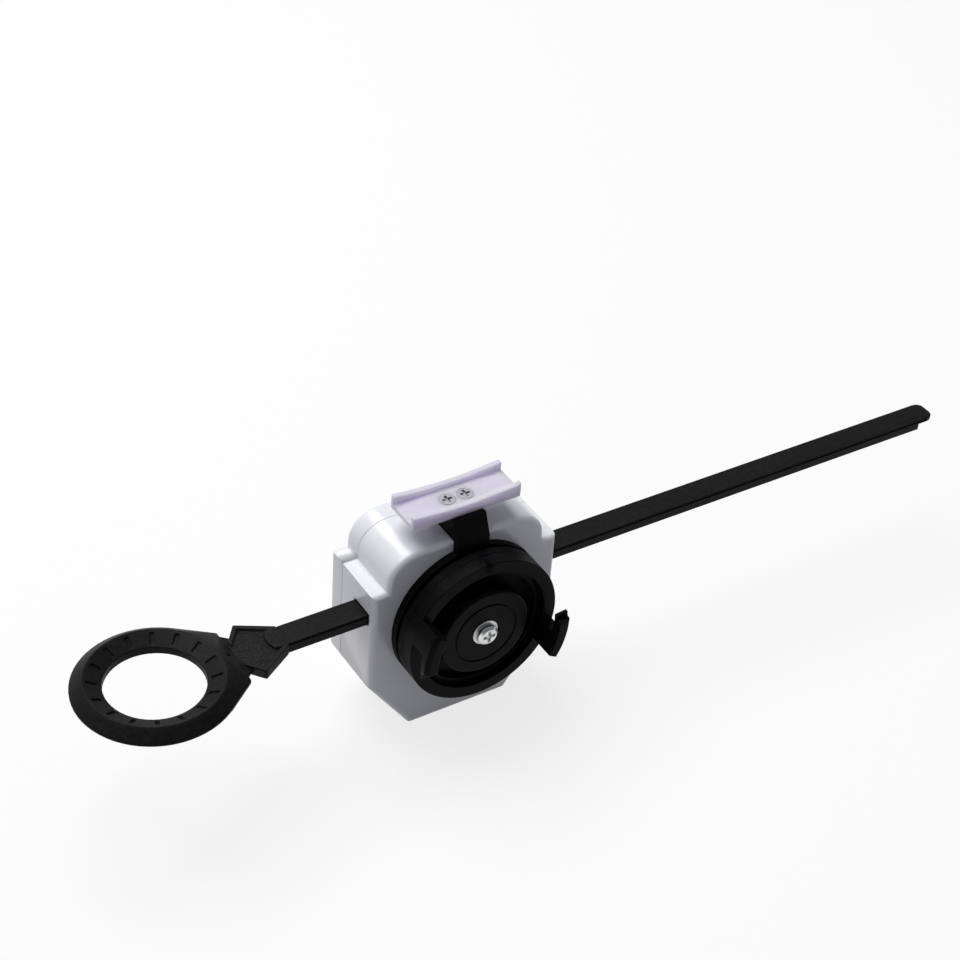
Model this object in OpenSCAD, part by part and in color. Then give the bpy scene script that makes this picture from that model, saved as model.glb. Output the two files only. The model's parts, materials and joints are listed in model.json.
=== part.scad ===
// Ripcord launcher for a spinning top.
// X runs along the ripcord towards its tip, Y from the turret's face into the casing, Z up.
// The origin lies on the turret's axis, in the plane of the disc that a top seats on.

/* [Ripcord handle] */
// Diameter of the finger hole
finger_hole_d = 24; // [21:0.5:27]
// Width of the grooved band round the hole
band_w = 4.4; // [3.6:0.1:5]
// Width of the slope outside the crest
slope_w = 3.15; // [2.6:0.05:3.8]
// Height of the ring from its underside to its crest
ring_h = 3.3; // [3.1:0.1:4.1]
// How far the band falls from the crest to the hole
band_drop = 1.9; // [1.1:0.1:2.3]
// How far the slope falls from the crest to the rim
rim_drop = 2.45; // [1.9:0.05:2.7]
// Number of radial grooves in the band
groove_count = 16; // [8:1:24]
// Distance from the ring's centre to the turret's axis at rest
ring_x = 80; // [78:1:92]
// How far the web runs out past the ring's rim
web_run = 0.45; // [0.3:0.05:2]
// Width of the web at its end
web_end_w = 18.4; // [16:0.2:20]
// Width of the bar between the web and the badge plate, at the web
bar_w = 15; // [12:0.2:16]
// Length of the badge plate
badge_l = 12; // [10:0.2:13]
// Width of the badge plate at its shoulders
badge_w = 17.8; // [15:0.2:20]
// Width of the badge plate at the handle end
badge_back_w = 8.8; // [7:0.2:11]

/* [Ripcord strip] */
// Width of the strip
strip_w = 6.5; // [6:0.1:7.5]
// Height of the strip with its teeth
strip_h = 3.1; // [2.9:0.1:3.8]
// Width of the plain rail beside the teeth
rail_w = 1.7; // [1.3:0.1:2.2]
// Distance from the turret's axis to the strip's tip at rest
tip_x = 151; // [130:1:170]
// How far the flange runs past the rail at the tip
tip_overhang = 5; // [3:0.2:6]

/* [Gear] */
// Number of teeth on the drive gear
gear_teeth = 10; // [10:1:12]
// Module of the gear and the rack
tooth_module = 0.9; // [0.85:0.05:1]
// Diameter of the gear shaft
shaft_d = 4; // [3.4:0.1:4.2]

/* [Turret] */
// Diameter of the turret
turret_d = 41.2; // [38:0.2:43]
// Depth of the turret from its disc to its back
turret_h = 6.8; // [6.4:0.1:8]
// Radial width of the prong ring
prong_ring_w = 3.3; // [3:0.1:4]
// Diameter of the disc in the middle of the turret
hub_disc_d = 24.4; // [20:0.2:26]
// How far the prongs stand out past the disc
prong_h = 6.5; // [5:0.1:8]
// Angle that one prong spans
prong_span = 37; // [32:1:50]
// Angle of the prongs' middle below the strip's direction at rest
prong_tilt = 12; // [0:1:30]
// Diameter of the turret screw's head
screw_head_d = 5.6; // [4.6:0.1:6.4]

/* [Casing] */
// Width of the casing at its sides
casing_w = 52; // [50:0.5:56]
// Width of the casing above its shoulders
upper_w = 44; // [42:0.5:46]
// Height of the casing's top above the turret's axis
casing_top = 23; // [22:0.5:26]
// Depth of the casing's foot below the turret's axis
casing_drop = 33; // [31:0.5:36]
// Height of the shoulders above the turret's axis
shoulder_z = 13.3; // [12:0.1:15]
// Depth below the axis where the lower corners are cut
corner_drop = 16; // [12:0.5:20]
// Width of the flat foot
foot_w = 28; // [26:0.5:36]
// Depth of the casing from front to back
casing_d = 21; // [20:0.5:25]
// Depth of the back cover
cover_d = 6; // [5:0.2:6.4]
// Thickness of the casing's walls
wall = 1.8; // [1.5:0.1:2.1]
// Radius of the casing's outer edges
edge_r = 1.6; // [1:0.1:2]
// Radius of the casing's upper corners
corner_r = 8; // [5:0.5:8]

/* [Front frame and grip joint] */
// Thickness of the black front frame
frame_t = 2; // [1.8:0.1:2.6]
// Width of the neck under the grip plate
neck_w = 9; // [8.6:0.2:12]
// Height of the neck above the casing
neck_h = 5.6; // [5:0.2:9]
// Width of the grip plate
plate_w = 30; // [26:0.5:36]
// Depth of the grip plate
plate_d = 10.8; // [9.6:0.2:12]
// Thickness of the grip plate between its lips
plate_t = 1.6; // [1.6:0.1:2.4]
// Height of the grip plate's lips
lip_h = 2.2; // [1.4:0.1:3]

/* [Hidden] */

// Overrun of every cut, thickness of the slices that a rounded block is drawn over, and overlap of joined shapes
over = 1;
film = 0.02;
$fn = 72;
arc_steps = 6;
edge_steps = 3;

// Clearances: pieces of one body, a shaft in its bush, flat running faces, a screw in its hole, the strip in its slot
fit = 0.03;
run_gap = 0.05;
end_gap = 0.1;
screw_gap = 0.15;
slot_gap = 0.3;
strip_gap = 0.35;
gear_gap = 0.3;
drum_gap = 1.2;

// Gear and rack
pressure_angle = 25;
addendum_share = 0.89;
dedendum_share = 1.11;
backlash = 0.1;
flank_steps = 5;
pitch_r = gear_teeth * tooth_module / 2;
base_r = pitch_r * cos(pressure_angle);
addendum = tooth_module * addendum_share;
dedendum = tooth_module * dedendum_share;
rack_pitch = PI * tooth_module;

// Levels along the turret's axis, from the disc back
frame_y = turret_h + drum_gap;
casing_y = frame_y + frame_t;
cavity_y = casing_y + wall;
strip_near_y = cavity_y + strip_gap;
strip_far_y = strip_near_y + strip_w;
strip_y = strip_near_y + strip_w / 2;
back_y = casing_y + casing_d;
cover_inner_y = back_y - wall;
split_y = back_y - cover_d;

// Levels above the turret's axis
strip_under_z = pitch_r - addendum;
strip_top_z = strip_under_z + strip_h;

// Handle, measured from the ring's centre and the strip's top face
crest_rise = 1;
rim_chamfer = 0.3;
collar_w = 1.4;
collar_h = 0.6;
slope_crown_share = 0.1;
web_steps = 24;
web_bevel = 0.4;
web_inset = 0.15;
bar_drop = 2.1;
bar_fall = 0.35;
bar_overlap = 3;
bar_end_w = 11.2;
groove_w = 1.05;
groove_depth = 0.45;
groove_share = 0.65;
gate_d = 0.8;
gate_from_web = 1.2;
hole_r = finger_hole_d / 2;
crest_r = hole_r + band_w;
ring_r = crest_r + slope_w;
ring_under = crest_rise - ring_h;
web_reach = ring_r + web_run;
badge_gap = 0.7;
badge_shoulder = 3.5;
badge_corner_r = 0.4;
badge_fall = 0.6;
badge_border_w = 1.1;
badge_field_depth = 0.55;
badge_open_share = 0.45;
badge_tip_margin = 0.35;
badge_tip_w = strip_w + 2 * badge_tip_margin;
badge_x = web_reach + badge_gap;
badge_tip_x = badge_x + badge_l;
bar_end_x = badge_x + badge_shoulder / 2;

// Strip, measured from the turret's axis and the strip's top face
flange_h = strip_h - addendum - dedendum;
rail_groove_drop = 0.35;
rail_groove_h = 0.45;
rail_groove_d = 0.35;
nose_l = 2.4;
nose_side = 1.8;
nose_steps = 4;
strip_end_bulge = 1.1;
strip_on_badge = 3.1;
strip_start_x = badge_tip_x - ring_x - strip_on_badge;
push_in = 20.5;
rack_start_x = -push_in - 2 * rack_pitch;
rail_end_x = tip_x - tip_overhang;

// Turret
turret_r = turret_d / 2;
drum_plate_t = 2.2;
drum_plate_y = turret_h - drum_plate_t;
drum_wall_w = 1.6;
drum_wall_h = 2;
ring_front_y = 0.9;
hub_disc_t = 2.2;
hub_boss_d = 11;
hub_chamfer = 0.5;
hub_groove_d = 17;
hub_groove_w = 0.6;
hub_groove_depth = 0.35;
washer_seat_depth = 0.6;
washer_t = 0.5;
washer_rim = 0.7;
washer_d = screw_head_d + 2 * washer_rim;
screw_head_h = 1.8;
screw_shank_d = 2.5;
screw_l = 10.8;
flat_depth = 0.5;
post_share = 0.5;
hook_share = 0.88;
prong_tooth_t = 2.7;
prong_bevel = 0.9;
prong_screw_d = 1.6;
prong_screw_head_d = 2.8;
prong_screw_head_h = 0.8;
prong_screw_l = 5;
prong_screw_spread = 12;

// Shaft train
bush_wall = 1.15;
bush_flange_w = 1.8;
bush_d = shaft_d + 2 * run_gap + 2 * bush_wall;
bush_flange_d = bush_d + 2 * bush_flange_w;
gear_y = strip_near_y + rail_w + gear_gap;
gear_end_y = strip_far_y + gear_gap;
gear_hub_d = 8.4;
gear_hub_l = 3.4;
gear_hub_end_y = gear_end_y + gear_hub_l;
pin_d = 1.5;
thrust_t = 0.4;
thrust_d = 8;
thrust_y = gear_hub_end_y + end_gap;
rear_flange_t = 0.8;
rear_bush_y = thrust_y + thrust_t + end_gap;
shaft_end_gap = 0.6;
shaft_end_y = cover_inner_y - shaft_end_gap;

// Casing
boss_d = 6.4;
casing_screw_d = 2.6;
casing_screw_head_d = 4.4;
casing_screw_head_h = 1.9;
casing_screw_l = 13;
screw_inset = 5.5;
low_screw_inset = 11;
low_wall_inset = 4.4;
head_sink = 0.9;
pillar_gap = 0.1;
step_t = 0.9;
step_l = 1.6;
step_gap = 0.12;
rib_t = 2;
rib_x = 15;
rib_reach = 1;
dish_d = 22;
dish_depth = 0.5;
bolt_circle_r = 15;
frame_screw_d = 2.2;
frame_screw_head_d = 4.2;
frame_screw_head_h = 1.2;
frame_screw_l = 7;
frame_boss_d = 4.8;
frame_boss_l = 4;

// Guide block above the strip
guide_w = 15;
guide_h = 4;
guide_peg_x = 4.6;
guide_peg_d = 2;
guide_z = strip_top_z + slot_gap;
guide_d = strip_w + 2 * strip_gap;

// Grip joint
neck_d = 13.2;
neck_lean = 2.4;
plate_setback = 3.6;
plate_corner_r = 0.5;
lip_w = 1.5;
lip_dip = 1;
grip_screw_x = 2.5;
grip_screw_d = 2.2;
grip_screw_head_d = 4.2;
grip_screw_head_h = 1.2;
grip_screw_l = 7;
plate_y = frame_y + plate_setback;
plate_mid_y = plate_y + plate_d / 2;
plate_z = casing_top + neck_h;

// Points of an arc, and of a convex outline drawn in by t, both anticlockwise
function arc(c, r, a0, a1, n = arc_steps) =
    [for (i = [0:n]) let (a = a0 + (a1 - a0) * i / n) c + r * [cos(a), sin(a)]];
function inward(a, b) = let (v = (b - a) / norm(b - a)) [-v[1], v[0]];
function drawn_in(p, t) = let (n = len(p))
    [for (i = [0:n - 1]) let (u = inward(p[(i + n - 1) % n], p[i]), v = inward(p[i], p[(i + 1) % n]))
        p[i] + t * (u + v) / (1 + u * v)];

// A plate between two levels of Y, whose outline is given in X and Z
module slab(y0, y1) translate([0, y1, 0]) rotate([90, 0, 0]) linear_extrude(y1 - y0) children();

// A rod and a cone along Y about the point (x, z)
module rod(d, y0, y1, x = 0, z = 0)
    translate([x, y0, z]) rotate([-90, 0, 0]) cylinder(d = d, h = y1 - y0);
module cone(d0, d1, y0, y1, x = 0, z = 0)
    translate([x, y0, z]) rotate([-90, 0, 0]) cylinder(d1 = d0, d2 = d1, h = y1 - y0);

// A screw whose head starts at the origin and whose shank points up, with a crossed recess in the head
recess_l_share = 0.6;
recess_w_share = 0.16;
recess_depth_share = 0.45;
crown_share = 0.72;
crown_h_share = 0.34;
module screw(head_d, head_h, shank_d, length, sunk) difference() {
    union() {
        if (sunk) cylinder(d1 = head_d, d2 = shank_d, h = head_h);
        else {
            cylinder(d1 = head_d * crown_share, d2 = head_d, h = head_h * crown_h_share);
            translate([0, 0, head_h * crown_h_share]) cylinder(d = head_d, h = head_h * (1 - crown_h_share));
        }
        translate([0, 0, head_h - film]) cylinder(d = shank_d - 2 * fit, h = length - head_h + film);
    }
    for (a = [0, 90]) rotate([0, 0, a])
        translate([-head_d * recess_l_share / 2, -head_d * recess_w_share / 2, -over])
            cube([head_d * recess_l_share, head_d * recess_w_share, over + head_h * recess_depth_share]);
}

// Ripcord: finger ring, web, badge plate and toothed strip in one moulding
ring_profile = concat(
    [[hole_r, ring_under - collar_h], [hole_r + collar_w, ring_under - collar_h], [hole_r + collar_w, ring_under],
     [ring_r - rim_chamfer, ring_under], [ring_r, ring_under + rim_chamfer]],
    [for (i = [0:arc_steps]) let (s = 1 - i / arc_steps)
        [crest_r + slope_w * s, crest_rise - rim_drop * s * (1 - slope_crown_share + slope_crown_share * s)]],
    [[hole_r, crest_rise - band_drop]]);
function tangent_a(p, r) = atan2(p[1], p[0]) + acos(r / norm(p));
web_corner = [web_reach, web_end_w / 2];
web_top_corner = web_corner - [0, web_bevel];
rim_a = tangent_a(web_corner, ring_r);
crest_a = tangent_a(web_top_corner, crest_r);
badge_outline = [[badge_x, -badge_back_w / 2], [badge_x + badge_shoulder, -badge_w / 2],
                 [badge_tip_x, -badge_tip_w / 2], [badge_tip_x, badge_tip_w / 2],
                 [badge_x + badge_shoulder, badge_w / 2], [badge_x, badge_back_w / 2]];
badge_slant = badge_open_share * [badge_shoulder, (badge_w - badge_back_w) / 2];
badge_field = [[badge_x, -badge_back_w / 2] + [-badge_slant[0], badge_slant[1]],
               badge_outline[1], badge_outline[2], badge_outline[3], badge_outline[4],
               [badge_x, badge_back_w / 2] - badge_slant];

module layer(z0, z1) translate([0, 0, z0]) linear_extrude(z1 - z0) children();

// Upper faces that slant down towards the ring: the badge plate's and the bar's
function badge_top(x) = -badge_fall * (badge_tip_x - x) / badge_l;
function bar_top(x) = crest_rise - bar_drop - bar_fall * (x - web_reach) / (bar_end_x - web_reach);
module between(x0, x1, low, high) slab(-badge_w / 2 - over, badge_w / 2 + over)
    polygon([[x0, low[0]], [x0, high[0]], [x1, high[1]], [x1, low[1]]]);

// Web: its top runs from the crest, and its sides from the rim, to a straight end
module web() difference() {
    hull() {
        layer(crest_rise - film, crest_rise) polygon(arc([0, 0], crest_r - film, -crest_a, crest_a, web_steps));
        layer(ring_under, crest_rise - rim_drop)
            polygon([(ring_r - film) * [cos(rim_a), -sin(rim_a)], [web_corner[0], -web_corner[1]],
                     web_corner, (ring_r - film) * [cos(rim_a), sin(rim_a)]]);
        translate([web_reach - film, -web_top_corner[1], crest_rise - bar_drop - film])
            cube([film, 2 * web_top_corner[1], film]);
    }
    layer(ring_under - over, crest_rise + over) circle(crest_r + web_inset);
}

module handle() difference() {
    union() {
        rotate_extrude() polygon(ring_profile);
        web();
        intersection() {
            layer(ring_under, crest_rise - bar_drop)
                polygon([[web_reach - bar_overlap, -bar_w / 2], [web_reach, -bar_w / 2], [bar_end_x, -bar_end_w / 2],
                         [bar_end_x, bar_end_w / 2], [web_reach, bar_w / 2], [web_reach - bar_overlap, bar_w / 2]]);
            between(web_reach - bar_overlap - over, bar_end_x + over, (ring_under - over) * [1, 1],
                    [bar_top(web_reach - bar_overlap - over), bar_top(bar_end_x + over)]);
        }
        intersection() {
            layer(-strip_h, over) offset(r = badge_corner_r) offset(delta = -badge_corner_r) polygon(badge_outline);
            between(badge_x - over, badge_tip_x, (-strip_h - over) * [1, 1], [badge_top(badge_x - over), 0]);
        }
    }
    layer(ring_under - collar_h - over, crest_rise + over) circle(hole_r);
    intersection() {
        layer(badge_top(0), over) polygon(drawn_in(badge_field, badge_border_w));
        between(badge_x - badge_slant[0] - over, badge_tip_x, [badge_top(badge_x - badge_slant[0] - over), 0]
                - badge_field_depth * [1, 1], 2 * over * [1, 1]);
    }
    translate([web_reach - gate_from_web, 0, crest_rise - bar_drop]) cylinder(d = gate_d, h = bar_drop + over);
    for (i = [0:groove_count - 1]) rotate([0, 0, i * 360 / groove_count])
        translate([hole_r + band_w / 2, 0, crest_rise - band_drop / 2]) rotate([0, -atan2(band_drop, band_w), 0])
            cube([band_w * groove_share, groove_w, 2 * groove_depth], center = true);
}

// Rack outline in X and Z: the teeth point down, one of them at the turret's axis
rack_root_z = -strip_h + addendum + dedendum;
tooth_half = rack_pitch / 4 - backlash / 2;
tooth_tip_half = tooth_half - addendum * tan(pressure_angle);
tooth_root_half = tooth_half + dedendum * tan(pressure_angle);
rack_first = ceil((rack_start_x + tooth_root_half) / rack_pitch);
rack_last = floor((rail_end_x - tooth_root_half) / rack_pitch);
rack_outline = concat(
    [[rack_start_x, -flange_h + film], [rack_start_x, rack_root_z - film]],
    [for (k = [rack_first:rack_last]) each let (x = k * rack_pitch)
        [[x - tooth_root_half, rack_root_z - film], [x - tooth_tip_half, -strip_h],
         [x + tooth_tip_half, -strip_h], [x + tooth_root_half, rack_root_z - film]]],
    [[rail_end_x, rack_root_z - film], [rail_end_x, -flange_h + film]]);

bulge_r = (pow(strip_w / 2, 2) + pow(strip_end_bulge, 2)) / (2 * strip_end_bulge);
bulge_a = asin(strip_w / 2 / bulge_r);
flange_outline = concat(
    arc([strip_start_x - strip_end_bulge + bulge_r, 0], bulge_r, 180 - bulge_a, 180 + bulge_a),
    [for (i = [0:nose_steps]) let (a = 90 * i / nose_steps)
        [tip_x - nose_l + nose_l * sin(a), nose_side - strip_w / 2 - nose_side * cos(a)]],
    [for (i = [0:nose_steps]) let (a = 90 - 90 * i / nose_steps)
        [tip_x - nose_l + nose_l * sin(a), strip_w / 2 - nose_side + nose_side * cos(a)]]);

module strip() {
    solid_x = strip_start_x;
    rail_x = badge_tip_x - ring_x;
    difference() {
        union() {
            layer(-flange_h, 0) polygon(flange_outline);
            translate([solid_x, -strip_w / 2, -strip_h]) cube([rail_end_x - solid_x, rail_w, strip_h - flange_h + film]);
        }
        translate([rail_x, -strip_w / 2 - over, -rail_groove_drop - rail_groove_h])
            cube([tip_x - nose_l - rail_x, over + rail_groove_d, rail_groove_h]);
    }
    translate([solid_x, -strip_w / 2 + rail_w - film, -strip_h])
        cube([rack_start_x - solid_x + film, strip_w - rail_w + film, strip_h - flange_h + film]);
    slab(-strip_w / 2 + rail_w - film, strip_w / 2) polygon(rack_outline);
}

module ripcord() color("#232325") translate([0, strip_y, strip_top_z]) {
    translate([-ring_x, 0, 0]) handle();
    strip();
}

// Casing outlines in X and Z, below and above the shoulders
lower_outline = [[casing_w / 2, -corner_drop], [casing_w / 2, shoulder_z], [-casing_w / 2, shoulder_z],
                 [-casing_w / 2, -corner_drop], [-foot_w / 2, -casing_drop], [foot_w / 2, -casing_drop]];
upper_outline = concat([[-upper_w / 2, 0], [upper_w / 2, 0]],
    arc([upper_w / 2 - corner_r, casing_top - corner_r], corner_r, 0, 90),
    arc([corner_r - upper_w / 2, casing_top - corner_r], corner_r, 90, 180));
cut_run = (casing_w - foot_w) / 2;
cut_rise = casing_drop - corner_drop;
low_screw_x = foot_w / 2 + (low_screw_inset * cut_run - low_wall_inset * norm([cut_run, cut_rise])) / cut_rise;
screw_spots = [for (side = [-1, 1]) each
    [[side * (upper_w / 2 - screw_inset), casing_top - screw_inset], [side * low_screw_x, low_screw_inset - casing_drop]]];
frame_spots = [for (a = [45:90:315]) bolt_circle_r * [cos(a), sin(a)]];
head_floor_y = cover_inner_y - head_sink;

module casing_core(y0, y1, t) for (outline = [lower_outline, upper_outline]) slab(y0, y1) polygon(drawn_in(outline, t));

// Casing block between two levels, with its outer edge rounded at its front or at its back
module casing_block(y0, y1, front) for (outline = [lower_outline, upper_outline]) hull()
    for (i = [0:edge_steps]) {
        y = edge_r * (1 - sin(90 * i / edge_steps));
        t = edge_r * (1 - cos(90 * i / edge_steps));
        slab(front ? y0 + y : y0, front ? y1 : y1 - y) polygon(drawn_in(outline, t));
    }

module front_casing() color("white") difference() {
    union() {
        difference() {
            casing_block(casing_y, split_y, true);
            casing_core(cavity_y, split_y + over, wall);
        }
        for (s = screw_spots) rod(boss_d, cavity_y - film, split_y - pillar_gap, s[0], s[1]);
        for (s = frame_spots) rod(frame_boss_d, cavity_y - film, cavity_y + frame_boss_l, s[0], s[1]);
        for (x = [-guide_peg_x, guide_peg_x])
            rod(guide_peg_d, cavity_y - film, cavity_y + guide_d, x, guide_z + guide_h / 2);
        for (side = [-1, 1])
            translate([side * rib_x - rib_t / 2, cavity_y - film, low_screw_inset - casing_drop])
                cube([rib_t, strip_w + 2 * strip_gap + rib_reach, casing_drop + casing_top - low_screw_inset - screw_inset]);
    }
    translate([-casing_w / 2 - over, cavity_y, strip_under_z - slot_gap])
        cube([casing_w + 2 * over, strip_w + 2 * strip_gap, strip_h + 2 * slot_gap]);
    for (s = screw_spots) rod(casing_screw_d, cavity_y, split_y + over, s[0], s[1]);
    for (s = frame_spots) rod(frame_screw_d, casing_y - over, cavity_y + frame_boss_l + over, s[0], s[1]);
    rod(bush_d + 2 * fit, casing_y - over, cavity_y + over);
}

module back_cover() color("white") difference() {
    union() {
        difference() {
            casing_block(split_y, back_y, false);
            casing_core(split_y - over, cover_inner_y, wall);
        }
        // Step that enters the front half
        difference() {
            union() {
                casing_core(split_y, split_y + step_l, wall - film);
                casing_core(split_y - step_l, split_y + film, wall + step_gap);
            }
            casing_core(split_y - step_l - over, split_y + step_l + over, wall + step_gap + step_t);
            for (s = screw_spots) rod(boss_d + 2 * step_gap, split_y - step_l - over, split_y, s[0], s[1]);
        }
        for (s = screw_spots) rod(boss_d, split_y, cover_inner_y + film, s[0], s[1]);
        rod(bush_flange_d, rear_bush_y + rear_flange_t, cover_inner_y + film);
    }
    for (s = screw_spots) {
        rod(casing_screw_d + 2 * screw_gap, split_y - over, back_y + over, s[0], s[1]);
        rod(casing_screw_head_d + 2 * screw_gap, head_floor_y, back_y + over, s[0], s[1]);
    }
    rod(bush_d + 2 * fit, rear_bush_y, cover_inner_y);
    rod(dish_d, back_y - dish_depth, back_y + over);
}

module casing_screws() color("silver") for (s = screw_spots)
    translate([s[0], head_floor_y + casing_screw_head_h, s[1]]) rotate([90, 0, 0])
        screw(casing_screw_head_d, casing_screw_head_h, casing_screw_d, casing_screw_l, false);

// Front frame: a disc behind the turret and an arm that turns back over the casing as the grip plate's neck
neck_side = [[frame_y, 0], [casing_y, 0], [casing_y, casing_top], [frame_y + neck_d, casing_top],
             [frame_y + neck_d, plate_z], [frame_y + neck_lean, plate_z], [frame_y, casing_top]];
module front_frame() color("#1c1c1e") difference() {
    union() {
        rod(turret_d, frame_y, casing_y);
        translate([-neck_w / 2, 0, 0]) rotate([90, 0, 90]) linear_extrude(neck_w) polygon(neck_side);
    }
    rod(bush_d + 2 * fit, frame_y - over, casing_y + over);
    for (s = frame_spots) {
        rod(frame_screw_d + 2 * screw_gap, frame_y - over, casing_y + over, s[0], s[1]);
        cone(frame_screw_head_d + 2 * fit, frame_screw_d + 2 * fit, frame_y, frame_y + frame_screw_head_h, s[0], s[1]);
    }
    for (x = [-grip_screw_x, grip_screw_x]) translate([x, plate_mid_y, plate_z - grip_screw_l])
        cylinder(d = grip_screw_d, h = grip_screw_l + over);
}

module frame_screws() color("silver") for (s = frame_spots) translate([s[0], frame_y, s[1]]) rotate([-90, 0, 0])
    screw(frame_screw_head_d, frame_screw_head_h, frame_screw_d, frame_screw_l, true);

// Grip plate: a flange with a lip along its front and one along its back, each dished in the middle
lip_outline = concat([[-plate_w / 2, 0], [plate_w / 2, 0]],
    [for (i = [0:2 * arc_steps]) let (u = 1 - i / arc_steps)
        [u * plate_w / 2, plate_t + lip_h - lip_dip * (1 - u * u)]]);
plate_outline = [for (q = [[1, 1, 0], [-1, 1, 90], [-1, -1, 180], [1, -1, 270]])
    each arc([q[0] * (plate_w / 2 - plate_corner_r), q[1] * (plate_d / 2 - plate_corner_r)], plate_corner_r, q[2], q[2] + 90)];

module grip_plate() color("lavender") difference() {
    translate([0, plate_mid_y, plate_z]) intersection() {
        linear_extrude(plate_t + lip_h) polygon(plate_outline);
        union() {
            translate([-plate_w / 2, -plate_d / 2, 0]) cube([plate_w, plate_d, plate_t]);
            slab(-plate_d / 2, lip_w - plate_d / 2) polygon(lip_outline);
            slab(plate_d / 2 - lip_w, plate_d / 2) polygon(lip_outline);
        }
    }
    for (x = [-grip_screw_x, grip_screw_x]) translate([x, plate_mid_y, plate_z]) {
        translate([0, 0, -over]) cylinder(d = grip_screw_d + 2 * fit, h = plate_t + 2 * over);
        translate([0, 0, plate_t - grip_screw_head_h])
            cylinder(d1 = grip_screw_d + 2 * fit, d2 = grip_screw_head_d + 2 * fit, h = grip_screw_head_h);
    }
}

module grip_screws() color("silver") for (x = [-grip_screw_x, grip_screw_x])
    translate([x, plate_mid_y, plate_z + plate_t]) rotate([180, 0, 0])
        screw(grip_screw_head_d, grip_screw_head_h, grip_screw_d, grip_screw_l, true);

// Flanged bushes that the shaft turns in
module bush(flange_y, body_y, end_y) color("tan") difference() {
    union() {
        rod(bush_flange_d, flange_y, body_y);
        rod(bush_d, body_y - film, end_y);
    }
    rod(shaft_d + 2 * run_gap, flange_y - over, end_y + over);
}

module front_bush() bush(turret_h + end_gap, frame_y, strip_near_y + rail_w);
module rear_bush() bush(rear_bush_y, rear_bush_y + rear_flange_t, cover_inner_y);

// Guide block that keeps the strip down on the gear
module rack_guide() color("#e8e4d8") difference() {
    translate([-guide_w / 2, cavity_y, guide_z]) cube([guide_w, guide_d, guide_h]);
    for (x = [-guide_peg_x, guide_peg_x])
        rod(guide_peg_d + 2 * fit, cavity_y - over, cavity_y + guide_d + over, x, guide_z + guide_h / 2);
}

// Shaft section with its flat, and the hole that fits it
module shaft_end(d, y0, y1, flat) difference() {
    rod(d, y0, y1);
    translate([shaft_d / 2 - flat, y0 - over, -shaft_d]) cube([shaft_d, y1 - y0 + 2 * over, 2 * shaft_d]);
}

prong_screw_spots = [for (side = [0, 180]) for (a = [-1, 1])
    let (angle = side - prong_tilt + a * prong_screw_spread) (turret_r - prong_ring_w / 2) * [cos(angle), sin(angle)]];

module turret_drum() color("#1c1c1e") difference() {
    union() {
        rod(turret_d, drum_plate_y, turret_h);
        rod(hub_boss_d, hub_disc_t, drum_plate_y + film);
        difference() {
            rod(turret_d - 2 * prong_ring_w - 2 * fit, drum_plate_y - drum_wall_h, drum_plate_y + film);
            rod(turret_d - 2 * prong_ring_w - 2 * drum_wall_w, drum_plate_y - drum_wall_h - over, drum_plate_y);
        }
    }
    shaft_end(shaft_d + 2 * fit, hub_disc_t - over, turret_h + over, flat_depth - fit);
    for (s = prong_screw_spots) {
        rod(prong_screw_d + 2 * fit, drum_plate_y - over, turret_h + over, s[0], s[1]);
        cone(prong_screw_d + 2 * fit, prong_screw_head_d + 2 * fit, turret_h - prong_screw_head_h, turret_h, s[0], s[1]);
    }
}

// A hooked prong: a post, and a tooth whose tip reaches on round the turret with a sloped front
prong_a = -prong_tilt - prong_span / 2;
module wedge(y0, y1, span) slab(y0, y1) polygon([[0, 0],
    for (i = [0:2]) turret_d * [cos(prong_a + span * i / 2), sin(prong_a + span * i / 2)]]);
module prong() intersection() {
    union() {
        wedge(-prong_h, ring_front_y + film, prong_span * post_share);
        wedge(prong_tooth_t - prong_h - prong_bevel, prong_tooth_t - prong_h, prong_span);
        wedge(-prong_h, prong_tooth_t - prong_h - prong_bevel + film, prong_span * hook_share);
    }
    union() {
        rod(turret_d, prong_bevel - prong_h, drum_plate_y);
        cone(turret_d - 2 * prong_bevel, turret_d, -prong_h, prong_bevel - prong_h + film);
    }
}

module prong_ring() color("#1c1c1e") difference() {
    union() {
        rod(turret_d, ring_front_y, drum_plate_y);
        for (side = [0, 180]) rotate([0, side, 0]) prong();
    }
    rod(turret_d - 2 * prong_ring_w, -prong_h - over, drum_plate_y + over);
    for (s = prong_screw_spots) rod(prong_screw_d, turret_h - prong_screw_l, drum_plate_y + over, s[0], s[1]);
}

module prong_screws() color("silver") for (s = prong_screw_spots) translate([s[0], turret_h, s[1]]) rotate([90, 0, 0])
    screw(prong_screw_head_d, prong_screw_head_h, prong_screw_d, prong_screw_l, true);

module hub_disc() color("#2a2a2d") difference() {
    union() {
        cone(hub_disc_d - 2 * hub_chamfer, hub_disc_d, 0, hub_chamfer);
        rod(hub_disc_d, hub_chamfer, hub_disc_t);
    }
    rod(washer_d + 2 * screw_gap, -over, washer_seat_depth);
    rod(screw_shank_d + 2 * screw_gap, -over, hub_disc_t + over);
    difference() {
        rod(hub_groove_d + hub_groove_w, -over, hub_groove_depth);
        rod(hub_groove_d - hub_groove_w, -2 * over, hub_groove_depth + over);
    }
}

module turret_washer() color("silver") difference() {
    rod(washer_d, washer_seat_depth - washer_t, washer_seat_depth);
    rod(screw_shank_d + screw_gap, -over, washer_seat_depth + over);
}

module turret_screw() color("silver") translate([0, washer_seat_depth - washer_t - screw_head_h, 0]) rotate([-90, 0, 0])
    screw(screw_head_d, screw_head_h, screw_shank_d, screw_l, false);

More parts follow.
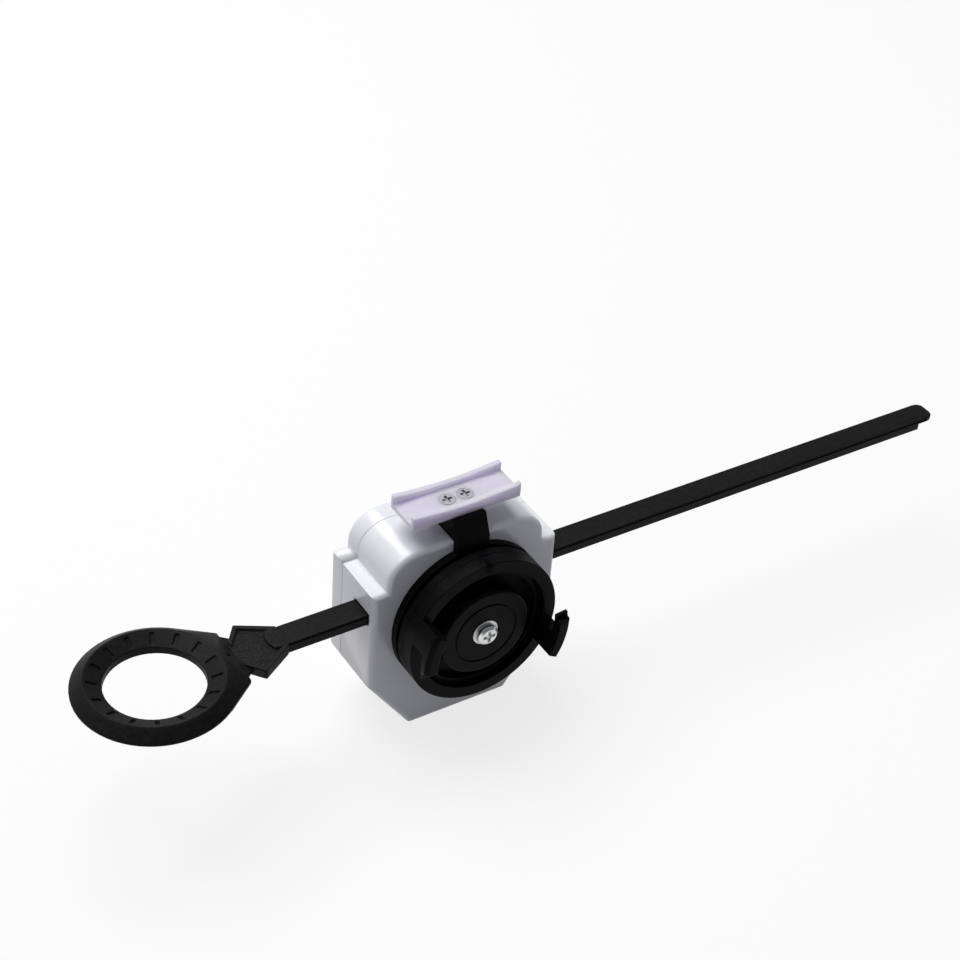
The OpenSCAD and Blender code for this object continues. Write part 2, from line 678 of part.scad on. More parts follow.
module gear_shaft() color("lightsteelblue") difference() {
    union() {
        shaft_end(shaft_d, hub_disc_t, turret_h + film, flat_depth);
        rod(shaft_d, turret_h, shaft_end_y);
    }
    rod(screw_shank_d, hub_disc_t - over, hub_disc_t + screw_l);
    translate([0, (gear_end_y + gear_hub_end_y) / 2, -gear_hub_d]) cylinder(d = pin_d, h = 2 * gear_hub_d);
}

// Involute gear outline: a space faces up, so that a tooth of the rack lies in it
function involute(r) = let (a = acos(base_r / r)) tan(a) * 180 / PI - a;
root_r = pitch_r - dedendum;
outer_r = pitch_r + addendum;
tooth_half_a = 90 / gear_teeth - backlash / 2 / pitch_r * 180 / PI + involute(pitch_r);
flank = concat([[root_r, tooth_half_a]], [for (i = [0:flank_steps])
    let (r = base_r + film + (outer_r - base_r - film) * i / flank_steps) [r, tooth_half_a - involute(r)]]);
gear_outline = [for (i = [0:gear_teeth - 1]) each let (mid = 90 + (i + 0.5) * 360 / gear_teeth, n = len(flank)) concat(
    [for (k = [0:n - 1]) flank[k][0] * [cos(mid - flank[k][1]), sin(mid - flank[k][1])]],
    [for (k = [n - 1:-1:0]) flank[k][0] * [cos(mid + flank[k][1]), sin(mid + flank[k][1])]])];

module drive_gear() color("#e6dfc8") difference() {
    union() {
        slab(gear_y, gear_end_y) polygon(gear_outline);
        rod(gear_hub_d, gear_end_y - film, gear_hub_end_y);
    }
    rod(shaft_d + 2 * fit, gear_y - over, gear_hub_end_y + over);
    translate([0, (gear_end_y + gear_hub_end_y) / 2, -gear_hub_d]) cylinder(d = pin_d, h = 2 * gear_hub_d);
}

module gear_pin() color("silver") translate([0, (gear_end_y + gear_hub_end_y) / 2, -gear_hub_d / 2 + fit])
    cylinder(d = pin_d - 2 * fit, h = gear_hub_d - 2 * fit);

module thrust_washer() color("silver") difference() {
    rod(thrust_d, thrust_y, thrust_y + thrust_t);
    rod(shaft_d + 2 * end_gap, thrust_y - over, thrust_y + thrust_t + over);
}

ripcord();
front_casing();
back_cover();
casing_screws();
front_frame();
frame_screws();
grip_plate();
grip_screws();
front_bush();
rear_bush();
rack_guide();
turret_drum();
prong_ring();
prong_screws();
hub_disc();
turret_washer();
turret_screw();
gear_shaft();
drive_gear();
gear_pin();
thrust_washer();
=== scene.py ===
# %% [markdown]
# A ripcord launcher for a spinning top: a black toothed strip with a finger ring runs through a small white
# gear casing and spins a black pronged turret on its front. A lavender plate on top takes a hand grip. The
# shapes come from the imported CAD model, which stays where it is. This lesson gives them plastics and metals,
# rounded edges, a grained badge, a floor, light and a camera.

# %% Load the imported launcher
import json
import math
import bmesh
import bpy
from mathutils import Matrix, Vector
from mathutils.bvhtree import BVHTree


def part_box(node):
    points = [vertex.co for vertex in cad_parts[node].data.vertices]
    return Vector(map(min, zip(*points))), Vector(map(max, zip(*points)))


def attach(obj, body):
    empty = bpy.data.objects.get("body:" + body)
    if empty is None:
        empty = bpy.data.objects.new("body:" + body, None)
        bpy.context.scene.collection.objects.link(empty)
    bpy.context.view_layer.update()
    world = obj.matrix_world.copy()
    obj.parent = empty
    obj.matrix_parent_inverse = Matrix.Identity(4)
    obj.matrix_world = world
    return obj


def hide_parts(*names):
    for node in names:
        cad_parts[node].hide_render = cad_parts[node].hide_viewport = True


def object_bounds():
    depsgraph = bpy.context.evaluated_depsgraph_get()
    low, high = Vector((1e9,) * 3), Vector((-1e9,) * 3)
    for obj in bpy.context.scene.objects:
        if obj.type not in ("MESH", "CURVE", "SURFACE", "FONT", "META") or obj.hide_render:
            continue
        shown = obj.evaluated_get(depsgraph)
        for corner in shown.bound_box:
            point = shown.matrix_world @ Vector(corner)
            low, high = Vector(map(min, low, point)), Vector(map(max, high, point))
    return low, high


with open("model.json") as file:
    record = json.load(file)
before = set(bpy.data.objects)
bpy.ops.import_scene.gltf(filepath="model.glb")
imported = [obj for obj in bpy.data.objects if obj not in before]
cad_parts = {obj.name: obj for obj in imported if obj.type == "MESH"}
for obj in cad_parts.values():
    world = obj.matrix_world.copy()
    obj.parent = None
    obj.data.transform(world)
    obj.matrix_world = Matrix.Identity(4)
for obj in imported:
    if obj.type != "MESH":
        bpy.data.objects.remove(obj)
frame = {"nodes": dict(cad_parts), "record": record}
cad_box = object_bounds()
nodes = frame["nodes"]
MM = 0.001


# %% [markdown]
# A finish is a small graph of shader nodes. Written node by node it is hard to read, so a wire between nodes
# becomes a Python object here: sums and products of wires add their Math nodes, and one method adds every
# other kind of node.

# %% Wires that take plus, minus and times
class Wire:
    """One output socket, with arithmetic that adds Math nodes."""

    def __init__(self, finish, socket):
        self.finish = finish
        self.socket = socket

    def maths(self, operation, a, b):
        return self.finish.add("ShaderNodeMath", {"operation": operation}, {0: a, 1: b})

    def __add__(self, other): return self.maths("ADD", self, other)
    def __radd__(self, other): return self.maths("ADD", other, self)
    def __sub__(self, other): return self.maths("SUBTRACT", self, other)
    def __rsub__(self, other): return self.maths("SUBTRACT", other, self)
    def __mul__(self, other): return self.maths("MULTIPLY", self, other)
    def __rmul__(self, other): return self.maths("MULTIPLY", other, self)

    def step(self, low, high):
        """0 below low and 1 above high, with a soft change between."""
        return self.finish.add("ShaderNodeMapRange", {"interpolation_type": "SMOOTHSTEP"},
                               {"Value": self, "From Min": low, "From Max": high})


def rgb(r, g, b):
    return (r, g, b, 1.0)


# %% One material's graph
MIX_FACTOR, MIX_A, MIX_B, MIX_RESULT = 0, 6, 7, 2       # a Mix node's sockets when it mixes colours
EDGE_SAMPLES = 6
RUB_STARTS, RUB_FULL = 0.02, 0.25                       # how far a rounded normal has turned, as 1 - cosine


class Finish:
    """One material's node tree."""

    def __init__(self, name):
        self.material = bpy.data.materials.new(name)
        self.material.use_nodes = True
        self.tree = self.material.node_tree
        self.tree.nodes.clear()
        self.place = self.add("ShaderNodeTexCoord", out="Object")

    def add(self, kind, settings=None, values=None, out=0):
        """Any node: its settings first, then the values or wires of its inputs. Gives one output."""
        node = self.tree.nodes.new(kind)
        for name, value in (settings or {}).items():
            setattr(node, name, value)
        for name, value in (values or {}).items():
            if isinstance(value, Wire):
                self.tree.links.new(value.socket, node.inputs[name])
            else:
                node.inputs[name].default_value = value
        return Wire(self, node.outputs[out])

    def stretched(self, x, y, z):
        """The object's coordinates, scaled along each axis."""
        return self.add("ShaderNodeMapping", values={"Vector": self.place, "Scale": (x, y, z)})

    def cloud(self, size, detail=2.0, roughness=0.5, place=None):
        """Noise from 0 to 1 whose blotches are about this size, in metres."""
        return self.add("ShaderNodeTexNoise", values={"Vector": place or self.place, "Scale": 1 / size,
                                                      "Detail": detail, "Roughness": roughness}, out="Fac")

    def blend(self, mask, a, b):
        """Colour a where the mask is 0 and b where it is 1."""
        return self.add("ShaderNodeMix", {"data_type": "RGBA"}, {MIX_FACTOR: mask, MIX_A: a, MIX_B: b},
                        out=MIX_RESULT)

    def bump(self, height, depth, normal=None):
        """A normal from a height of 0 to 1 that stands for this depth, in metres."""
        values = {"Height": height, "Distance": depth, "Strength": 1.0}
        if normal:
            values["Normal"] = normal
        return self.add("ShaderNodeBump", values=values)

    def rounded(self, radius):
        """A normal that turns over each sharp edge, as on a moulding."""
        return self.add("ShaderNodeBevel", {"samples": EDGE_SAMPLES}, {"Radius": radius})

    def rubbed(self, normal):
        """1 where this rounded normal leaves the surface's own, along the edges, and 0 elsewhere."""
        plain = self.add("ShaderNodeNewGeometry", out="Normal")
        along = self.add("ShaderNodeVectorMath", {"operation": "DOT_PRODUCT"}, {0: normal, 1: plain},
                         out="Value")
        return (1 - along).step(RUB_STARTS, RUB_FULL)

    def close(self, **sockets):
        """Ends the graph in a Principled shader with these sockets."""
        values = {name.replace("_", " "): value for name, value in sockets.items()}
        return self.end_in(self.add("ShaderNodeBsdfPrincipled", values=values))

    def end_in(self, shader):
        """Joins this shader to the output, and gives the material."""
        output = self.tree.nodes.new("ShaderNodeOutputMaterial")
        self.tree.links.new(shader.socket, output.inputs["Surface"])
        return self.material


# %% [markdown]
# Nearly everything here is injection moulded plastic. Up close such a moulding has a very fine skin from the
# tool, a slow change of tone from the flow of the melt, small cloudy spots, hairlines from handling, and
# edges that are a little rounded and rubbed. One function makes them all, since only the colour, the gloss
# and the strength of each mark differ.

# %% Marks of a moulding
FLOW_SIZE = 14 * MM
GRAIN_SIZE = 0.35 * MM
SPOT_SIZE = 1.1 * MM
HAIR_SIZE = 0.25 * MM
RUB_SIZE = 3 * MM
# Where in its noise each mark starts and is full.
FLOW_BAND, SPOT_BAND, RUB_BAND = (0.3, 0.7), (0.35, 0.65), (0.35, 0.65)
ALONG = {"stretch": (0.06, 1.0, 1.0), "band": (0.66, 0.72), "patch_size": 9 * MM, "patch_band": (0.45, 0.62)}
ACROSS = {"stretch": (1.0, 0.4, 0.05), "band": (0.68, 0.73), "patch_size": 7 * MM, "patch_band": (0.5, 0.64)}
# How far each mark moves the roughness, and how much of the worn colour it shows.
GLOSS_FLOW, GLOSS_GRAIN, GLOSS_SPOTS, GLOSS_HAIR, GLOSS_RUB = 0.06, 0.05, 0.2, 0.12, 0.08
TONE_HAIR, TONE_RUB = 0.35, 0.5


def hairs(f, stretch, band, patch_size, patch_band):
    """1 on hairlines and 0 elsewhere, in patches. A low stretch draws them out along that axis."""
    fine = f.cloud(HAIR_SIZE, detail=1.0, place=f.stretched(*stretch)).step(*band)
    return fine * f.cloud(patch_size).step(*patch_band)


def moulding(name, colour, worn, rough, skin, edge=0.25 * MM, tone=0.1, mottle=0.12, scuffs=0.5, **sockets):
    """A moulded plastic: worn is the colour of its scuffs, skin the depth of its grain in metres."""
    f = Finish(name)
    flow = f.cloud(FLOW_SIZE, detail=3.0)
    grain = f.cloud(GRAIN_SIZE, roughness=0.6)
    spots = f.cloud(SPOT_SIZE, detail=4.0, roughness=0.6)
    hairlines = (hairs(f, **ALONG) + hairs(f, **ACROSS)) * scuffs
    round_edge = f.rounded(edge)
    rub = f.rubbed(round_edge) * f.cloud(RUB_SIZE, detail=3.0).step(*RUB_BAND)
    cloudy = flow.step(*FLOW_BAND) * tone + spots.step(*SPOT_BAND) * mottle
    shade = f.blend(cloudy, rgb(*colour), rgb(*worn))
    scratched = f.blend(hairlines * TONE_HAIR, shade, rgb(*worn))
    base = f.blend(rub * TONE_RUB, scratched, rgb(*worn))
    gloss = (rough + (flow - 0.5) * GLOSS_FLOW + (grain - 0.5) * GLOSS_GRAIN
             + (spots - 0.5) * GLOSS_SPOTS * mottle + hairlines * GLOSS_HAIR - rub * GLOSS_RUB)
    return f.close(Base_Color=base, Roughness=gloss, Normal=f.bump(grain, skin, round_edge), **sockets)


# %% [markdown]
# The black pieces are close to each other in colour, and it is the strength of their shine that tells them
# apart: the ring and the strip take the light a little, the turret and the frame hardly at all. The casing
# has a clear gloss, and the grip plate is a cloudy lavender that lets light in a few millimetres deep. Each
# is one call with its colour, worn colour, roughness and skin, and only what differs from the rest.

# %% Moulded plastics
black_cord = moulding("black_cord", (0.005, 0.005, 0.0055), (0.024, 0.024, 0.026), rough=0.45,
                      skin=0.006 * MM, mottle=0.22, Specular_IOR_Level=0.075)
black_turret = moulding("black_turret", (0.0025, 0.0025, 0.003), (0.011, 0.011, 0.012), rough=0.38,
                        skin=0.004 * MM, Specular_IOR_Level=0.04)
black_frame = moulding("black_frame", (0.002, 0.002, 0.002), (0.01, 0.01, 0.011), rough=0.5,
                       skin=0.01 * MM, Specular_IOR_Level=0.06)
dark_hub = moulding("dark_hub", (0.003, 0.003, 0.0034), (0.013, 0.013, 0.014), rough=0.45,
                    skin=0.008 * MM, Specular_IOR_Level=0.05)
badge_black = moulding("badge_black", (0.009, 0.009, 0.0094), (0.024, 0.024, 0.026), rough=0.34,
                       skin=0.004 * MM, Specular_IOR_Level=0.3)
white_casing = moulding("white_casing", (0.83, 0.84, 0.88), (0.7, 0.71, 0.76), rough=0.22,
                        skin=0.003 * MM, edge=0.4 * MM, tone=0.18, scuffs=0.4,
                        Coat_Weight=0.25, Coat_Roughness=0.08)
lavender_grip = moulding("lavender_grip", (0.7, 0.67, 0.8), (0.6, 0.57, 0.7), rough=0.26,
                         skin=0.003 * MM, tone=0.2, scuffs=0.4, Subsurface_Weight=0.9,
                         Subsurface_Radius=(1.0, 0.95, 1.1), Subsurface_Scale=4 * MM)
natural_acetal = moulding("natural_acetal", (0.8, 0.76, 0.64), (0.7, 0.65, 0.52), rough=0.38,
                          skin=0.004 * MM)
plastics = (black_cord, black_turret, black_frame, dark_hub, badge_black, white_casing, lavender_grip,
            natural_acetal)
print("plastics", [plastic.name for plastic in plastics])

# %% [markdown]
# The metal pieces are small: plated screw heads, plain washers, a ground shaft and bronze bushes. A tool
# leaves fine marks along a shaft and a fine dullness on a turned face, and handling leaves a film. So one
# noise is drawn out along the turret's axis and varies the roughness, and a wider one lays the film.

# %% Metals
MARK_SIZE, MARK_STRETCH, MARK_DEPTH = 0.12 * MM, (1.0, 0.08, 1.0), 0.002 * MM
FILM_SIZE, FILM_BAND = 1.6 * MM, (0.4, 0.7)
METAL_EDGE = 0.12 * MM
GLOSS_MARK, GLOSS_FILM, TONE_FILM = 0.16, 0.1, 0.5


def metal(name, colour, dull, rough):
    """A metal with fine tool marks and a dull film in patches."""
    f = Finish(name)
    marks = f.cloud(MARK_SIZE, roughness=0.6, place=f.stretched(*MARK_STRETCH))
    film = f.cloud(FILM_SIZE, detail=3.0).step(*FILM_BAND)
    base = f.blend(film * TONE_FILM, rgb(*colour), rgb(*dull))
    gloss = rough + (marks - 0.5) * GLOSS_MARK + film * GLOSS_FILM
    return f.close(Base_Color=base, Metallic=1.0, Roughness=gloss,
                   Normal=f.bump(marks, MARK_DEPTH, f.rounded(METAL_EDGE)))


zinc = metal("zinc", (0.72, 0.73, 0.73), (0.5, 0.5, 0.5), rough=0.26)
plain_steel = metal("plain_steel", (0.55, 0.55, 0.56), (0.4, 0.4, 0.41), rough=0.34)
ground_steel = metal("ground_steel", (0.62, 0.63, 0.65), (0.45, 0.46, 0.48), rough=0.2)
matt_zinc = metal("matt_zinc", (0.4, 0.39, 0.43), (0.3, 0.29, 0.33), rough=0.5)
bronze = metal("bronze", (0.6, 0.42, 0.22), (0.4, 0.28, 0.15), rough=0.4)
print("metals", [made.name for made in (zinc, plain_steel, ground_steel, matt_zinc, bronze)])

# %% [markdown]
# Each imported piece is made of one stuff, so it takes one finish over its whole surface. That could be done
# by hand, piece by piece. A list from piece to finish is used, because the rounded copies further down look
# their finish up in it again.

# %% Give each piece its finish
finishes = {
    "ripcord": black_cord, "front_casing": white_casing, "back_cover": white_casing, "casing_screws": zinc,
    "front_frame": black_frame, "frame_screws": zinc, "grip_plate": lavender_grip, "grip_screws": matt_zinc,
    "front_bush": bronze, "rear_bush": bronze, "rack_guide": natural_acetal, "turret_drum": black_turret,
    "prong_ring": black_turret, "prong_screws": zinc, "hub_disc": dark_hub, "turret_washer": plain_steel,
    "turret_screw": zinc, "gear_shaft": ground_steel, "drive_gear": natural_acetal,
    "gear_pin": ground_steel, "thrust_washer": plain_steel,
}
for name, material in finishes.items():
    mesh = nodes[name].data
    mesh.materials.clear()
    mesh.materials.append(material)
print("finished", len(finishes), "pieces")


# %% [markdown]
# No moulded or turned piece has a knife edge, and a small true bevel catches the light as the real edge
# does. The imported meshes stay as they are, because the joints and sizes hang on them, so each visible piece
# gets a copy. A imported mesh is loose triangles, so the copy's triangles are joined first and its flat regions
# are made whole.

# %% Helpers for new objects and meshes
def placed(name, data):
    """A new object with this data, in the scene."""
    thing = bpy.data.objects.new(name, data)
    bpy.context.scene.collection.objects.link(thing)
    return thing


def applied(thing):
    """A plain mesh of what an object's modifiers make."""
    bpy.context.view_layer.update()
    return bpy.data.meshes.new_from_object(thing.evaluated_get(bpy.context.evaluated_depsgraph_get()))


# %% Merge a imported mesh
GAP = 0.03 * MM
FLAT = math.radians(1)


def merged(name):
    """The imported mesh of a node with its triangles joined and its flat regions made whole."""
    work = bmesh.new()
    work.from_mesh(nodes[name].data)
    bmesh.ops.remove_doubles(work, verts=work.verts, dist=GAP)
    bmesh.ops.dissolve_degenerate(work, edges=work.edges, dist=GAP / 2)
    bmesh.ops.dissolve_limit(work, angle_limit=FLAT, verts=work.verts, edges=work.edges,
                             use_dissolve_boundaries=False)
    work.edges.ensure_lookup_table()
    return work


# %% [markdown]
# A Bevel modifier with its clamp on would shrink every bevel to suit the tiniest edge of the piece, and
# without the clamp bevels run into each other in narrow places. So the bevel is made in bmesh without a
# clamp, only along edges whose faces have room for it, and then it is looked at: a fault is a place where
# faces cross, where the mesh is open, or where it leaves its old box.

# %% Find where a bevel has room and where it went wrong
SLACK = 1e-7


def reach(edge):
    """How far the narrower of an edge's two faces reaches from it."""
    start = edge.verts[0].co
    along = (edge.verts[1].co - start).normalized()
    return min(max(((v.co - start) - (v.co - start).dot(along) * along).length for v in face.verts)
               for face in edge.link_faces)


def faults(work, low, high):
    """Places where faces cross, where the mesh is open, and where it leaves this box."""
    work.faces.ensure_lookup_table()
    tree = BVHTree.FromBMesh(work, epsilon=0)
    crossed = [work.faces[a].calc_center_median() for a, b in tree.overlap(tree)
               if a < b and not set(work.faces[a].verts) & set(work.faces[b].verts)]
    outside = [v.co.copy() for v in work.verts
               if any(v.co[i] < low[i] - SLACK or v.co[i] > high[i] + SLACK for i in range(3))]
    return crossed + outside + [edge.verts[0].co.copy() for edge in work.edges if len(edge.link_faces) != 2]


def near(edge, places, distance):
    """True where an end or the middle of an edge is closer than this to any of the places."""
    a, b = edge.verts[0].co, edge.verts[1].co
    return any((point - place).length < distance for point in (a, b, (a + b) / 2) for place in places)


# %% [markdown]
# Where there is a fault, the bevel is made again without the edges around it, and each try clears a wider
# space. It ends when no fault is left, or no edge to bevel. Slivers that the bevel makes are collapsed
# before each look, because they have no area and spoil the shading.

# %% Bevel without faults
SHARP = math.radians(28)        # an edge that turns by more than this is bevelled
ROOM = 2.4                      # the least reach of its faces, in bevel widths
SLIVER = 0.0005 * MM


def bevelled(base, picked, width):
    """A copy of a mesh with a two step bevel of this width along the picked edges, in triangles."""
    work = base.copy()
    work.edges.ensure_lookup_table()
    bmesh.ops.bevel(work, geom=[work.edges[i] for i in picked], offset=width, offset_type="OFFSET",
                    segments=2, profile=0.5, affect="EDGES", clamp_overlap=False)
    bmesh.ops.triangulate(work, faces=work.faces)
    bmesh.ops.dissolve_degenerate(work, edges=work.edges, dist=SLIVER)
    bmesh.ops.triangulate(work, faces=work.faces)
    return work


def soft_mesh(name, width):
    """A node's mesh with each sharp edge bevelled where the bevel makes no fault."""
    low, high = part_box(name)
    base = merged(name)
    picked = [edge.index for edge in base.edges
              if edge.calc_face_angle(0) > SHARP and reach(edge) > ROOM * width]
    tries = 0
    while True:
        tries += 1
        work = bevelled(base, picked, width)
        found = faults(work, low, high)
        if not found or not picked:
            break
        work.free()
        picked = [i for i in picked if not near(base.edges[i], found, (1 + tries) * width)]
    mesh = bpy.data.meshes.new(name + "_soft")
    work.to_mesh(mesh)
    print(f"{name}: {len(picked)} edges bevelled in {tries} tries, {len(found)} faults,",
          f"{len(mesh.polygons)} triangles")
    work.free()
    base.free()
    return mesh


# %% [markdown]
# A bevelled piece is shaded smooth, apart from the edges that stayed sharp. Plain smooth shading would bend
# the light on the flat faces beside each bevel. Normals weighted by the faces' areas keep the flats flat, so
# the bevel alone turns the light. Only the pieces that show get a copy, and a larger piece gets a wider
# bevel.

# %% Round the edges of the pieces that show
STAY_SHARP = math.radians(42)
body_of = {name: body for body, names in frame["record"]["behaviour"]["bodies"].items() for name in names}
bevels = {  # widths in millimetres
    "ripcord": 0.12, "front_casing": 0.18, "back_cover": 0.18, "front_frame": 0.15, "grip_plate": 0.15,
    "hub_disc": 0.12, "prong_ring": 0.15, "turret_drum": 0.12, "turret_screw": 0.06, "turret_washer": 0.06,
    "casing_screws": 0.05,
}
for name, width in bevels.items():
    mesh = soft_mesh(name, width * MM)
    mesh.shade_smooth()
    mesh.set_sharp_from_angle(angle=STAY_SHARP)
    piece = placed(name + "_soft", mesh)
    weight = piece.modifiers.new("weight", "WEIGHTED_NORMAL")
    weight.keep_sharp = True
    piece.data = applied(piece)
    piece.modifiers.clear()
    piece.data.materials.clear()
    piece.data.materials.append(finishes[name])
    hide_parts(name)
    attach(piece, body_of[name])

# %% [markdown]
# The sunken field of the badge plate sparkles a little, because its mould was spark eroded and left low
# pebbles all over it. A bump alone would look flat at the field's edge, so the pebbles are real here, and
# they need the field's own faces to stand on. The badge plate is the only place on the ripcord whose top
# slants by a few degrees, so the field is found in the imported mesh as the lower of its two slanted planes.

# %% Find the badge's field
LEAST_SLANT, MOST_SLANT = math.radians(1), math.radians(6)
PLANE_STEP = 0.05 * MM          # faces whose planes are closer than this are grouped
PRINT_AREA, FIELD_AREA = 5, 40  # in square millimetres


def slanted_planes(mesh):
    """Faces that look up with a slight slant, grouped by the height of their plane over the origin."""
    planes = {}
    for face in mesh.polygons:
        if math.cos(LEAST_SLANT) > face.normal.z > math.cos(MOST_SLANT):
            planes.setdefault(round(face.center.dot(face.normal) / PLANE_STEP), []).append(face)
    return planes


cord_mesh = nodes["ripcord"].data
planes = slanted_planes(cord_mesh)
areas = {level: sum(face.area for face in faces) / (MM * MM) for level, faces in planes.items()}
print("slanted planes", {level: round(area, 1) for level, area in areas.items() if area > PRINT_AREA})
field_faces = planes[min(level for level, area in areas.items() if area > FIELD_AREA)]
field_points = [tuple(cord_mesh.vertices[i].co) for face in field_faces for i in face.vertices]
field = bpy.data.meshes.new("badge_field")
field.from_pydata(field_points, [], [(3 * i, 3 * i + 1, 3 * i + 2) for i in range(len(field_faces))])
print("field faces", len(field_faces))

# %% [markdown]
# Pebbles could be placed one by one in Python, or scattered by particles. Geometry Nodes are used, because
# their sizes are inputs that are easy to change, and a fixed seed gives the same pebbles each time. Each is
# an icosphere of a few faces that is flattened and then scaled by a random amount.

# %% A node tree that scatters pebbles
SCATTER_SEED, SIZE_SEED = 7, 11
SMALLEST, LARGEST = 0.5, 1.2


def pebble_tree(name, material):
    """Geometry Nodes that scatter flattened pebbles over a mesh, and the identifiers of their inputs."""
    tree = bpy.data.node_groups.new(name, "GeometryNodeTree")
    inputs = {}
    for label, kind in (("Surface", "NodeSocketGeometry"), ("Pebbles per area", "NodeSocketFloat"),
                        ("Pebble radius", "NodeSocketFloat"), ("Pebble flatness", "NodeSocketFloat")):
        inputs[label] = tree.interface.new_socket(name=label, in_out="INPUT", socket_type=kind).identifier
    tree.interface.new_socket(name="Grain", in_out="OUTPUT", socket_type="NodeSocketGeometry")
    start, end, scatter, pebble, flatten, spread, sized, place, solid, finish = (
        tree.nodes.new(kind) for kind in (
            "NodeGroupInput", "NodeGroupOutput", "GeometryNodeDistributePointsOnFaces",
            "GeometryNodeMeshIcoSphere", "ShaderNodeCombineXYZ", "FunctionNodeRandomValue",
            "ShaderNodeVectorMath", "GeometryNodeInstanceOnPoints", "GeometryNodeRealizeInstances",
            "GeometryNodeSetMaterial"))
    scatter.inputs["Seed"].default_value = SCATTER_SEED
    pebble.inputs["Subdivisions"].default_value = 1
    flatten.inputs["X"].default_value = flatten.inputs["Y"].default_value = 1.0
    spread.inputs[2].default_value, spread.inputs[3].default_value = SMALLEST, LARGEST  # for plain numbers
    spread.inputs["Seed"].default_value = SIZE_SEED
    sized.operation = "SCALE"
    finish.inputs["Material"].default_value = material
    for source, target in (
        (start.outputs["Surface"], scatter.inputs["Mesh"]),
        (start.outputs["Pebbles per area"], scatter.inputs["Density"]),
        (start.outputs["Pebble radius"], pebble.inputs["Radius"]),
        (start.outputs["Pebble flatness"], flatten.inputs["Z"]),
        (flatten.outputs["Vector"], sized.inputs[0]),
        (spread.outputs[1], sized.inputs["Scale"]),
        (scatter.outputs["Points"], place.inputs["Points"]),
        (pebble.outputs["Mesh"], place.inputs["Instance"]),
        (sized.outputs["Vector"], place.inputs["Scale"]),
        (place.outputs["Instances"], solid.inputs["Geometry"]),
        (solid.outputs["Geometry"], finish.inputs["Geometry"]),
        (finish.outputs["Geometry"], end.inputs["Grain"]),
    ):
        tree.links.new(source, target)
    return tree, inputs


# %% [markdown]
# The tree works on a spare object that holds the field's faces. Its result becomes a plain mesh, the spare
# object goes, and the pebbles ride with the ripcord as one piece.

# %% Scatter the pebbles
PEBBLE_INPUTS = {"Pebbles per area": 9.0 / (MM * MM), "Pebble radius": 0.17 * MM, "Pebble flatness": 0.4}
tree, inputs = pebble_tree("spark_grain", badge_black)
emitter = placed("badge_field", field)
scatter_modifier = emitter.modifiers.new("grain", "NODES")
scatter_modifier.node_group = tree
for label, value in PEBBLE_INPUTS.items():
    scatter_modifier[inputs[label]] = value
grain_mesh = applied(emitter)
bpy.data.objects.remove(emitter)
badge_grain = placed("badge_grain", grain_mesh)
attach(badge_grain, "ripcord")
print("pebble faces", len(grain_mesh.polygons))

# %% [markdown]
# The photograph was taken from the left and above with a long lens. A camera could be placed by eye, but
# this one's place, turn and focal length come from fitting the strip, the ring and the turret to the
# photograph, so the render can be laid over it.

# %% Camera
EYE = Vector((-229.53, -330.54, 360.43)) * MM
RIGHT, UP, BACK = (0.85114, -0.52151, 0.05986), (0.28172, 0.55003, 0.78619), (-0.44293, -0.6523, 0.61508)
FOCAL_PX, IMAGE_PX, SENSOR_MM = 2230.73, 960, 36
NEAR, FAR = 0.01, 10
lens = bpy.data.cameras.new("camera")
lens.sensor_width = SENSOR_MM
lens.lens = SENSOR_MM * FOCAL_PX / IMAGE_PX
lens.clip_start, lens.clip_end = NEAR, FAR
camera = placed("camera", lens)
turn = Matrix((RIGHT, UP, BACK)).transposed().to_4x4()
camera.matrix_world = Matrix.Translation(EYE) @ turn
bpy.context.scene.camera = camera
print("lens", round(lens.lens, 2))

# %% [markdown]
# The launcher stands on a sweep, which is one sheet of white paper that lies flat and rises softly far
# behind it, so no line shows where a floor would end. A plane would do for one view, but the launcher is
# looked at from all sides, so the sheet is wide and its back is tall.

# %% Paper sweep
CURVE_STEPS = 16


def sweep(width, depth, rise, radius, height, floor_z):
    """A sheet along X that is flat at floor_z from -depth to rise, and curves up to this height beyond."""
    profile = [(-depth, floor_z), (rise, floor_z)]
    for i in range(1, CURVE_STEPS + 1):
        a = math.pi / 2 * i / CURVE_STEPS
        profile.append((rise + radius * math.sin(a), floor_z + radius * (1 - math.cos(a))))
    profile.append((rise + radius, floor_z + height))
    points = [(x, y, z) for x in (-width / 2, width / 2) for y, z in profile]
    n = len(profile)
    mesh = bpy.data.meshes.new("paper_sweep")
    mesh.from_pydata(points, [], [(i, n + i, n + i + 1, i + 1) for i in range(n - 1)])
    mesh.shade_smooth()
    return placed("paper_sweep", mesh)


paper = sweep(width=12.0, depth=6.0, rise=4.2, radius=0.8, height=6.0, floor_z=cad_box[0][2])
print("sweep faces", len(paper.data.polygons))

# %% [markdown]
# White paper this large would throw so much light back on the black pieces that they would turn grey. So the
# paper is white only for the rays that see it, straight, in a gloss or through something clear, and mid grey
# for the soft light that bounces off it. A share of it glows, which makes it white in the picture, and the
# rest takes the soft shadow under the casing and the ring.

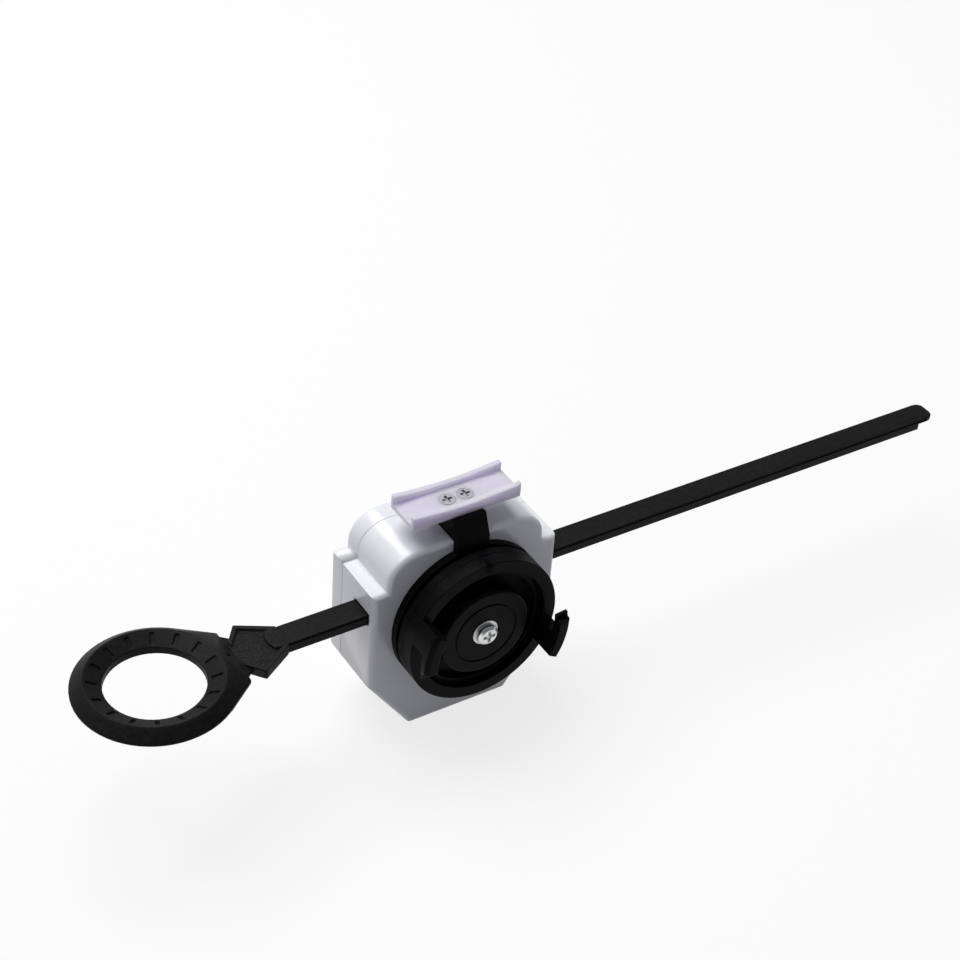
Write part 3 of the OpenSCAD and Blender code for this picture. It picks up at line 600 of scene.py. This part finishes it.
# %% Paper's finish
SEEN_BY = ("Is Camera Ray", "Is Glossy Ray", "Is Transmission Ray")
PAPER_UNSEEN, PAPER_SEEN = rgb(0.38, 0.38, 0.39), rgb(0.93, 0.93, 0.935)
GLOW_SHARE = 0.78
TOOTH_SIZE, TOOTH_DEPTH = 0.6 * MM, 0.01 * MM


def paper_finish():
    f = Finish("paper")
    tooth = f.cloud(TOOTH_SIZE, 2.0)
    in_view = sum(f.add("ShaderNodeLightPath", out=ray) for ray in SEEN_BY)
    sheet = f.add("ShaderNodeBsdfPrincipled",
                  values={"Base Color": f.blend(in_view, PAPER_UNSEEN, PAPER_SEEN), "Roughness": 0.9,
                          "Specular IOR Level": 0.1, "Normal": f.bump(tooth, TOOTH_DEPTH)})
    white = f.add("ShaderNodeEmission", values={"Color": rgb(1, 1, 1), "Strength": 1.0})
    return f.end_in(f.add("ShaderNodeMixShader", values={0: in_view * GLOW_SHARE, 1: sheet, 2: white}))


paper.data.materials.append(paper_finish())
print("paper shows white to", len(SEEN_BY), "kinds of ray")

# %% [markdown]
# The light in the photograph is broad and soft, from above and a little behind, with weak light from the
# left. A sun would give hard shadows and a point lamp small highlights, so two softboxes are used, and a
# dim even sky fills the rest. They are weak enough that a colour renders about as it is written.

# %% Softboxes and sky
AIM = (0.02, 0.01, 0.0)
SOFTBOXES = (  # name, place, width and height, all in metres, and power in watts
    ("top_softbox", (-0.15, 0.42, 0.95), (1.0, 0.8), 11.7),
    ("left_softbox", (-1.0, 0.1, 0.45), (0.6, 0.6), 0.3),
)
SKY_COLOUR, SKY_STRENGTH = rgb(0.94, 0.95, 1.0), 0.2
for name, place, size, power in SOFTBOXES:
    light = bpy.data.lights.new(name, "AREA")
    light.shape = "RECTANGLE"
    light.size, light.size_y = size
    light.energy = power
    box = placed(name, light)
    box.location = place
    box.rotation_euler = (Vector(AIM) - Vector(place)).to_track_quat("-Z", "Y").to_euler()
world = bpy.data.worlds.new("studio")
bpy.context.scene.world = world
world.use_nodes = True
world.node_tree.nodes["Background"].inputs["Color"].default_value = SKY_COLOUR
world.node_tree.nodes["Background"].inputs["Strength"].default_value = SKY_STRENGTH
bpy.context.scene.view_settings.view_transform = "Standard"
print("softboxes", [name for name, *_ in SOFTBOXES])
